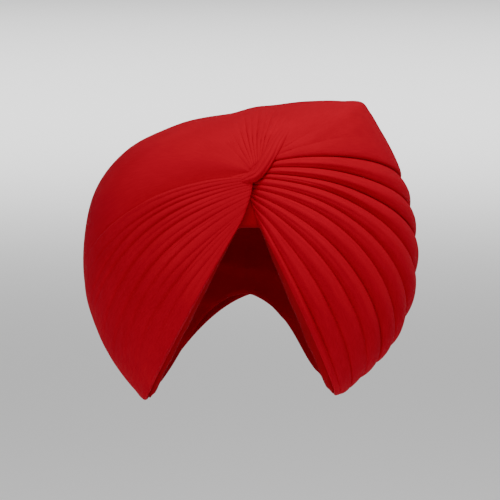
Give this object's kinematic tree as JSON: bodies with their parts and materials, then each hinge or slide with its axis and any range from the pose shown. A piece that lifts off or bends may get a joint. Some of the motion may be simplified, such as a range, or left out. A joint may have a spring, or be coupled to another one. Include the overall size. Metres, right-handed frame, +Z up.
{
  "type": "tied turban",
  "caption": "Tied cotton turban with stacked folded turns on one side, a gathered wrap on the other and a smooth crown, open below for the head.",
  "frame": {"origin": "centre of the head hollow, level with the lower edge of the cloth on the forehead", "axes": "+X to the right of a viewer who faces the front, -Y out of the front, +Z up"},
  "size_m": [0.2815, 0.2712, 0.2541],
  "materials": {
    "red_cloth": "matte plain-dyed fine cotton",
    "under_cloth": "matte plain-dyed fine cotton, a shade darker"
  },
  "bodies": {
    "root": {"under_wrap": "under_cloth", "layer_01": "red_cloth", "layer_02": "red_cloth", "layer_03": "red_cloth", "layer_04": "red_cloth", "layer_05": "red_cloth", "layer_06": "red_cloth", "layer_07": "red_cloth", "layer_08": "red_cloth", "layer_09": "red_cloth", "layer_10": "red_cloth", "crown_cover": "red_cloth", "side_wrap": "red_cloth", "front_tuck": "red_cloth"}
  },
  "joints": []
}
